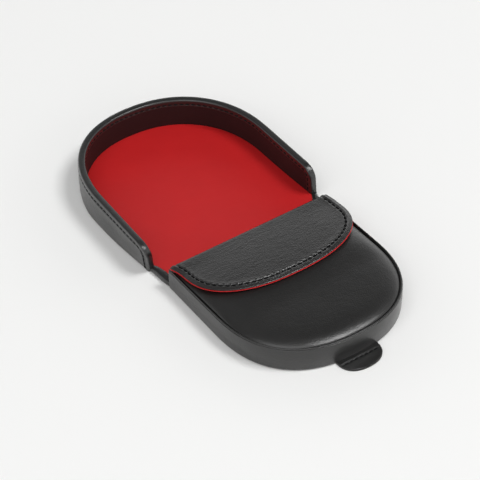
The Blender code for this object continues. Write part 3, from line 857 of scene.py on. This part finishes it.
def on_band(along, corner):
    """Where a corner of the band's section goes, whose height of BAND_TALL stands for the band's own."""
    _, depth = pouch_line.at(along)
    inset = BAND_THICK / 2 + (corner.x - BAND_THICK / 2) * nose(along, BAND_THICK / 2)
    return on_pouch(along, inset, corner.y / BAND_TALL * band_top(depth))


nose_stops = [BAND_SETBACK + BAND_THICK / 2 * share for share in NOSE_SHARES]
band_stops = nose_stops + pouch_line.stops(BAND_STEP, BAND_SETBACK + BAND_THICK / 2)
band_stops += [pouch_line.reach - along for along in reversed(nose_stops)]
dressed("pouch_band", swept(band_stops, band_section, on_band), "pouch", "black_leather",
        "pouch_side_leather")

# %% The board inside the band
SIDE_IN, SIDE_OUT, SIDE_LOW, SIDE_HIGH = in_mm(1.9, 1.0, 1.3, 8.9)
side_board_section = rounded([(SIDE_IN, SIDE_LOW, 0), (SIDE_OUT, SIDE_LOW, 0),
                              (SIDE_OUT, SIDE_HIGH, 0), (SIDE_IN, SIDE_HIGH, 0)])
dressed("pouch_side_core", swept(band_stops, side_board_section, on_band), "pouch", "board",
        "pouch_side_board")

# %% The rolled bead
BEAD, BEAD_INSET, BEAD_LIFT, BEAD_NOSE = in_mm(0.7, 0.52, -0.05, 2)
BEAD_SIDES = 12
bead_section = [
    Vector((math.cos(math.tau * k / BEAD_SIDES), math.sin(math.tau * k / BEAD_SIDES))) * BEAD / 2
    for k in range(BEAD_SIDES)
]


def on_bead(along, corner):
    """Where a corner of the bead's round section goes, on top of the band."""
    _, depth = pouch_line.at(along, BEAD_INSET)
    corner = corner * nose(along, BEAD_NOSE)
    return on_pouch(along, BEAD_INSET + corner.x, band_top(depth) + BEAD_LIFT + BEAD / 2 + corner.y)


dressed("pouch_bead", swept(band_stops, bead_section, on_bead), "pouch", "black_leather",
        "top_panel_bead")

# %% The padded top
TOP_EDGE = BAND_LIP + 0.45 * MM
CROWN_REACH, STEEP_REACH, SLOW_REACH = in_mm(10.0, 0.3, 3.0)
STEEP_SHARE = 0.08
TOP_LEATHER, TOP_SETBACK, TOP_LOW, TOP_STEP = in_mm(0.7, 2.2, -0.1, 1.2)
CROWN_SHARES = (0, 0.01, 0.025, 0.045, 0.07, 0.1, 0.135, 0.175, 0.22, 0.28, 0.35, 0.44, 0.57, 0.76, 1)


def crown(inset):
    """The share of the full rise at an inset from the edge: a tight shoulder, and then a slow swell."""
    away = max(inset - TOP_EDGE, 0)
    steep = 1 - math.exp(-away / STEEP_REACH)
    return STEEP_SHARE * steep + (1 - STEEP_SHARE) * (1 - math.exp(-away / SLOW_REACH))


def top_height(x, depth, inset):
    """The height of the padded top, which also falls a little from its middle to its two sides."""
    rise = padded_rise(depth, x) - CROSS_FALL * abs(x / BODY_HALF) ** CROSS_POWER
    return band_top(depth) + TOP_LOW + (rise - TOP_LOW) * crown(inset)


def on_top(x, depth, inset, _):
    """Where a point of the padded top lies."""
    depth = TOP_SETBACK + depth * (BODY_LENGTH - TOP_SETBACK) / BODY_LENGTH
    return (x, MOUTH_Y - depth, top_height(x, depth, inset))


crown_insets = [TOP_EDGE + CROWN_REACH * share for share in CROWN_SHARES]
crown_insets += [TOP_EDGE + CROWN_REACH + 3 * MM, TOP_EDGE + CROWN_REACH + 8 * MM]
top_mesh = filled(pouch_line, pouch_line.stops(TOP_STEP), crown_insets, on_top)
top = dressed("pouch_top", top_mesh, "pouch", "black_leather", "top_panel_leather", "top_panel_padding")
thicken(face_up(top), TOP_LEATHER)

# %% The board under the padded top
TOP_BOARD_FROM, TOP_BOARD_SUNK = in_mm(2.5, 0.9)


def on_top_board(x, depth, inset, _):
    """Where a point of the top's board lies, under the padding and just behind the mouth."""
    return (x, MOUTH_Y - max(depth, TOP_BOARD_FROM), band_top(depth) - TOP_BOARD_SUNK)


top_insets = [BAND_THICK + BOARD_GAP, BAND_THICK + BOARD_ROW]
board_sheet("pouch_top_core", pouch_line, TOP_STEP, top_insets, on_top_board, "pouch",
            "top_panel_board")

# %% The lip of the mouth
LIP_HALF = BODY_HALF - TOP_EDGE
LIP_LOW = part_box("top_panel_lining")[0].z - 0.1 * MM
LIP_WIDE, LIP_TALL, LIP_AHEAD, LIP_SUNK = in_mm(2.4, 2.2, 0.3, 0.02)
LIP_STEPS = 60
lip_section = rounded([
    (0, 0, 0.5 * MM),
    (0, LIP_TALL, 0.8 * MM),
    (LIP_WIDE, LIP_TALL, 0),
    (LIP_WIDE, 0, 0),
])


def on_lip(x, corner):
    """Where a corner of the lip's section goes: its x runs into the mouth, its y from low to high."""
    depth = TOP_SETBACK - LIP_AHEAD + corner.x
    high = top_height(x, max(depth, TOP_SETBACK), BODY_HALF - abs(x))
    return (x, MOUTH_Y - depth, LIP_LOW + (high - LIP_SUNK - LIP_LOW) * corner.y / LIP_TALL)


lip_stops = [LIP_HALF * math.sin(math.pi / 2 * (2 * k / LIP_STEPS - 1)) for k in range(LIP_STEPS + 1)]
dressed("pouch_mouth_lip", swept(lip_stops, lip_section, on_lip), "pouch", "black_leather")

# %% [markdown]
# ## The flap
#
# The flap is one piece of calf with a red lining. It stands up before the mouth, folds over and lies on
# the padded top. We cut it flat, as a horseshoe whose straight part is long enough for the front and
# the fold, and then lead every point along the path that the leather takes. The front has to fit
# between the ends of the side band, so the cut is narrower there and swings out just past the fold.
# Like many a hand-folded flap it lies a little askew: turned by a degree, and drawn in at its left.

# %% The path of the flap
FLAP_HALF = BODY_HALF - 0.1 * MM
FLAP_FRONT_HALF = BODY_HALF - 2.3 * MM
FLAP_DEPTH, FLAP_SIDE, FLAP_SQUARENESS = 34.4 * MM, 10 * MM, 2.4
FLAP_THICKNESS, FLAP_LEATHER, FLAP_LINING = in_mm(1.2, 0.7, 0.25)
FOLD_RADIUS, SWING_FROM, SWING_OUT = in_mm(1.3, 0.6, 2.4)
TURN, TURN_KEPT, TURN_RUN = 0.018, 0.5, 25 * MM
SHIFT, SHIFT_RUN, BACK = in_mm(0.5, 4, 0.3)
LEFT_TAPER, SIDE_RUN, SIDE_DROP, TIP_LIFT = in_mm(0.9, 9, 0.5, 0.2)
FRONT_TOP = FOLD_Z + FLAP_THICKNESS
FRONT_RISE = FRONT_TOP - FOOT_Z - FOLD_RADIUS
FOLD_LENGTH = math.pi / 2 * FOLD_RADIUS


def flap_top_height(depth):
    """The height of the flap's face over the padded top."""
    share = max(depth / FLAP_DEPTH, 0)
    return band_top(depth) + padded_rise(depth) + GAP + FLAP_THICKNESS + TIP_LIFT * share**3


def flap_width(run):
    """The share of the flap's full width at a run from its foot."""
    share = min(max((run - FRONT_RISE + SWING_FROM) / SWING_OUT, 0), 1)
    return (FLAP_FRONT_HALF + (FLAP_HALF - FLAP_FRONT_HALF) * math.sqrt(1 - (1 - share) ** 2)) / FLAP_HALF


def flap_point(x, run, drop):
    """Where a point goes that is a run from the flap's foot, at a drop below its face."""
    x = x * flap_width(run)
    turned = (TURN * x - BACK) * ease(run / FRONT_RISE)
    if run < FRONT_RISE:
        return (x, FOOT_Y + turned - drop, FOOT_Z + run)
    if run < FRONT_RISE + FOLD_LENGTH:
        angle = (run - FRONT_RISE) / FOLD_RADIUS
        radius = FOLD_RADIUS - drop
        y = FOOT_Y - FOLD_RADIUS + radius * math.cos(angle)
        return (x, y + turned, FRONT_TOP - FOLD_RADIUS + radius * math.sin(angle))
    y = FOOT_Y - FOLD_RADIUS - (run - FRONT_RISE - FOLD_LENGTH)
    depth = MOUTH_Y - y
    side = SIDE_DROP * abs(x / FLAP_HALF) ** 3 * ease(depth / SIDE_RUN)
    turned *= 1 - (1 - TURN_KEPT) * ease(depth / TURN_RUN)
    x += LEFT_TAPER * max(-x / FLAP_HALF, 0) ** 2 * ease(depth / SIDE_RUN)
    x += SHIFT * ease((run - FRONT_RISE - FOLD_LENGTH) / SHIFT_RUN)
    return (x, y + turned, flap_top_height(depth) - drop - side)


FLAT_LENGTH = FRONT_RISE + FOLD_LENGTH + FLAP_DEPTH - (MOUTH_Y - FOOT_Y) - FOLD_RADIUS
print("flap cut in mm:", round(FLAT_LENGTH / MM, 1), "by", round(2 * FLAP_HALF / MM, 1))

# %% The flap's seam
FLAP_FOOT_CUT, FLAP_SEAM_INSET, FLAP_STEP = in_mm(2.0, 2.7, 0.5)
SEAM_FROM = FRONT_RISE + FOLD_LENGTH + 0.8 * MM
flap_line = PlanLine(FLAP_HALF, FLAT_LENGTH, FLAT_LENGTH - FLAP_DEPTH + FLAP_SIDE, FLAP_SQUARENESS)
flap_stops = flap_line.stops(FLAP_STEP)
flap_seam_flat = [flap_line.at(along, FLAP_SEAM_INSET) for along in flap_stops]
sewn = [k for k, (_, run) in enumerate(flap_seam_flat) if run > SEAM_FROM]
flap_seam = Seam([flap_point(*flap_seam_flat[k], 0.1 * MM) for k in sewn], PITCH)
flap_pulls = [0] * len(flap_stops)
for n, k in enumerate(sewn):
    flap_pulls[k] = flap_seam.pull(n)

# %% The flap's leather and lining
FLAP_ROWS = in_mm(0, 0.3, 0.6, 0.9, 1.3, 1.7, 2.0, 2.2, 2.4, 2.55, 2.7, 2.85, 3.0, 3.2, 3.5, 4.2, 6, 9, 13)
PARED, PARED_REACH = in_mm(0.22, 0.45)
RIDGE, RIDGE_AT, RIDGE_HALF = in_mm(0.1, 1.5, 0.6)
LINING_DROP = FLAP_LEATHER + 0.06 * MM
LINING_PAST, FLAP_EDGE = in_mm(0.15, 0.15)


def flap_sheet(name, edge, drop_of, thickness, slot, *nodes):
    """One layer of the flap, cut flat and led along its path."""
    insets = [edge + row for row in FLAP_ROWS]

    def place(x, run, inset, number):
        return flap_point(x, max(run, FLAP_FOOT_CUT), drop_of(inset, number))

    sheet = dressed(name, filled(flap_line, flap_stops, insets, place), None, slot, *nodes)
    return thicken(face_up(sheet), thickness, FLAP_EDGE)


def face_drop(inset, number):
    """The cut edge is pared thinner, a low ridge runs beside it, and the seam lies in its groove."""
    pared = PARED * math.exp(-inset / PARED_REACH)
    ridge = RIDGE * math.exp(-((inset - RIDGE_AT) / RIDGE_HALF) ** 2)
    return puffed(inset - FLAP_SEAM_INSET, flap_pulls[number]) + pared - ridge


def inside_drop(inset, number):
    """The lining lies under the leather, and the thread presses the two together."""
    return LINING_DROP + groove(inset - FLAP_SEAM_INSET, flap_pulls[number])


flap = flap_sheet("flap_outside", 0, face_drop, FLAP_LEATHER, "black_leather", "flap_leather",
                  "flap_front_leather")
flap.data.materials[0] = creased_calf
flap_inside = flap_sheet("flap_inside", -LINING_PAST, inside_drop, FLAP_LINING, "red_lining",
                         "flap_lining", "flap_front_lining")
for layer in (flap, flap_inside):
    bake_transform(layer)
stitches("flap_stitches", flap_seam, [(0, 0, 1)] * len(sewn), "flap_top", "flap_stitching")
inside_drops = [flap_point(*flap_seam_flat[k], FLAP_THICKNESS + GLUE) for k in sewn]
inside_seam = Seam(inside_drops, flap_seam.step)
stitches("flap_stitches_inside", inside_seam, [(0, 0, -1)] * len(sewn), "flap_top")

# %% The flap's foot
FOOT_SUNK = 0.35 * MM
FOOT_COLUMNS, FOOT_ROWS = 20, 8
FOOT_TALL = FLAP_FOOT_CUT + FOOT_SUNK


def foot_strip(name, drop, thickness, slot):
    """The short strip between the floor's lining and the flap's front."""
    def place(i, j):
        x = FLAP_FRONT_HALF * (2 * i / FOOT_COLUMNS - 1)
        return (x, FOOT_Y - drop, FOOT_Z - FOOT_SUNK + FOOT_TALL * j / FOOT_ROWS)

    strip = dressed(name, grid(FOOT_COLUMNS, FOOT_ROWS, place), None, slot)
    if strip.data.polygons[0].normal.y < 0:
        strip.data.flip_normals()
    thicken(strip, thickness)
    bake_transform(strip)


foot_strip("flap_foot_outside", 0, FLAP_LEATHER, "black_leather")
foot_strip("flap_foot_inside", LINING_DROP, FLAP_LINING, "red_lining")

# %% [markdown]
# ## The pull tab
#
# Two small half-rounds of calf stick out of the pouch's foot at the toe. They are sewn together along a
# straight line beside the band, where the leather is pressed down, and between that line and the band
# it swells up into a low ridge. At its rim the tab is soft and turns down a little.

# %% The pull tab
TAB_WIDE, TAB_OUT = TAB_HALF - 0.8 * MM, TAB_REACH - 0.6 * MM
TAB_ROOT, TAB_LEATHER, TAB_EDGE, TAB_SEAM_OUT = in_mm(4.0, 0.55, 0.12, 2.3)
TAB_SQUARENESS = 2.3
SWELL, SWELL_BEFORE, SWELL_HALF = in_mm(0.12, 0.9, 0.5)
PRESS, PRESS_HALF = in_mm(0.16, 0.35)
TURNED, TURNED_REACH = in_mm(0.25, 0.8)
TAB_COLUMNS, TAB_ROWS, TAB_SEAM_STEPS = 24, 34, 40
TAB_Y = MOUTH_Y - BODY_LENGTH + TAB_ROOT


def tab_height(depth, inset):
    """How far the tab's face stands above or below its level."""
    out = depth - TAB_ROOT
    swell = SWELL * math.exp(-((out - TAB_SEAM_OUT + SWELL_BEFORE) / SWELL_HALF) ** 2)
    press = PRESS * math.exp(-((out - TAB_SEAM_OUT) / PRESS_HALF) ** 2)
    turned = TURNED * math.exp(-inset / TURNED_REACH)
    return swell - press - turned


def tab_layer(name, top, relief, node):
    """One leather of the tab: rows of faces straight across, cut to a half-round."""
    def place(i, j):
        depth = (TAB_ROOT + TAB_OUT) * math.sin(math.pi / 2 * j / TAB_ROWS)
        out = max(depth - TAB_ROOT, 0) / TAB_OUT
        half = TAB_WIDE * max(1 - out**TAB_SQUARENESS, 0) ** (1 / TAB_SQUARENESS)
        x = half * math.sin(math.pi / 2 * (2 * i / TAB_COLUMNS - 1))
        inset = min(half - abs(x), TAB_OUT + TAB_ROOT - depth)
        return (x, TAB_Y - depth, top + relief * tab_height(depth, inset))

    sheet = dressed(name, grid(TAB_COLUMNS, TAB_ROWS, place), "pouch", "black_leather", node)
    thicken(face_up(sheet), TAB_LEATHER, TAB_EDGE)


tab_layer("tab_lower", TAB_LEATHER + 0.05 * MM, 0, "pull_tab_lower")
tab_layer("tab_upper", 2 * TAB_LEATHER + 0.12 * MM, 1, "pull_tab_upper")
TAB_SEAM_HALF, TAB_PITCH = TAB_WIDE - 1.6 * MM, 2.3 * MM
tab_sewn = [(TAB_SEAM_HALF * (2 * k / TAB_SEAM_STEPS - 1), TAB_Y - TAB_ROOT - TAB_SEAM_OUT,
             2 * TAB_LEATHER) for k in range(TAB_SEAM_STEPS + 1)]
stitches("tab_stitches", Seam(tab_sewn, TAB_PITCH), [(0, 0, 1)] * len(tab_sewn), "pouch",
         "pull_tab_stitching")

# %% [markdown]
# ## The studio
#
# The purse lies on a pale floor under soft light, and the camera looks from its front left, about 41
# degrees above the floor.

# %% The camera
FOCAL_PIXELS, PICTURE_PIXELS, SENSOR = 1690.8, 480, 36
AROUND, ELEVATION = math.radians(34.629), math.radians(41.353)
DISTANCE, SHIFT_RIGHT, SHIFT_AWAY = in_mm(693.53, 3.189, -5.845)

aim = Vector((
    -math.cos(AROUND) * SHIFT_RIGHT - math.sin(AROUND) * SHIFT_AWAY,
    MOUTH_Y + math.sin(AROUND) * SHIFT_RIGHT - math.cos(AROUND) * SHIFT_AWAY,
    0,
))
back = Vector((-math.sin(AROUND) * math.cos(ELEVATION), -math.cos(AROUND) * math.cos(ELEVATION),
               math.sin(ELEVATION)))
lens = bpy.data.cameras.new("camera")
lens.sensor_width = SENSOR
lens.lens = FOCAL_PIXELS / PICTURE_PIXELS * SENSOR
camera = bpy.data.objects.new("camera", lens)
bpy.context.scene.collection.objects.link(camera)
camera.location = aim + back * DISTANCE
camera.rotation_euler = (-back).to_track_quat("-Z", "Y").to_euler()
bpy.context.scene.camera = camera

# %% The floor
FLOOR_SIZE, FLOOR_LOW = 3.0, -0.05 * MM
floor_mesh = bmesh.new()
bmesh.ops.create_grid(floor_mesh, x_segments=1, y_segments=1, size=FLOOR_SIZE)
paper, _, paper_shader = new_material("white paper")
paper_shader.inputs["Base Color"].default_value = linear("#F3F3F2")
paper_shader.inputs["Roughness"].default_value = 0.9
paper_shader.inputs["Specular IOR Level"].default_value = 0.1
ground = make("floor", floor_mesh, paper)
ground.location.z = FLOOR_LOW
ground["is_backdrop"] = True


# %% The softbox
def softbox(name, place, size, power):
    """A square area lamp that looks at the purse."""
    lamp = bpy.data.lights.new(name, "AREA")
    lamp.size = size
    lamp.energy = power
    holder = bpy.data.objects.new(name, lamp)
    holder.location = place
    holder.rotation_euler = (-Vector(place)).to_track_quat("-Z", "Y").to_euler()
    bpy.context.scene.collection.objects.link(holder)


softbox("key from the front right", (1.1, -1.1, 2.8), 1.1, 50)
softbox("fill from the front left", (-1.5, -1.0, 2.6), 2.8, 45)
softbox("softbox behind", (0, 1.5, 2.6), 1.8, 2)

# %% [markdown]
# ### The room around
#
# White walls stand low around the table and the ceiling is dim. So light comes in flat from all round
# and leaves the upward faces dark, and only a rounded edge or a tilted face catches a bright wall. The
# camera itself, and any mirror or glass, sees plain white there.

# %% The room's light
world = bpy.data.worlds.new("studio")
world.use_nodes = True
room = world.node_tree
room.nodes.clear()
way = add(room, "ShaderNodeTexCoord")
parts = add(room, "ShaderNodeSeparateXYZ", {}, {"Vector": (way, "Generated")})
steep = add(room, "ShaderNodeMapRange", {"From Min": 0.3, "From Max": 0.64, "To Min": 1.15, "To Max": 0.04},
            {"Value": (parts, "Z")})
light = add(room, "ShaderNodeBackground", {"Color": linear("#FFFFFF")}, {"Strength": (steep, "Result")})
seen = add(room, "ShaderNodeBackground", {"Color": linear("#F6F6F6"), "Strength": 1.0})
path = add(room, "ShaderNodeLightPath")
mixed = add(room, "ShaderNodeMixShader", {}, {0: (path, "Is Camera Ray"), 1: (light, 0), 2: (seen, 0)})
add(room, "ShaderNodeOutputWorld", {}, {"Surface": (mixed, "Shader")})
bpy.context.scene.world = world
bpy.context.scene.view_settings.view_transform = "Standard"

# %% Size of the dressed purse, and the end
visual_box = [list(corner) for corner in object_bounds()]
print("dressed box in mm:", [[round(c / MM, 1) for c in corner] for corner in visual_box])
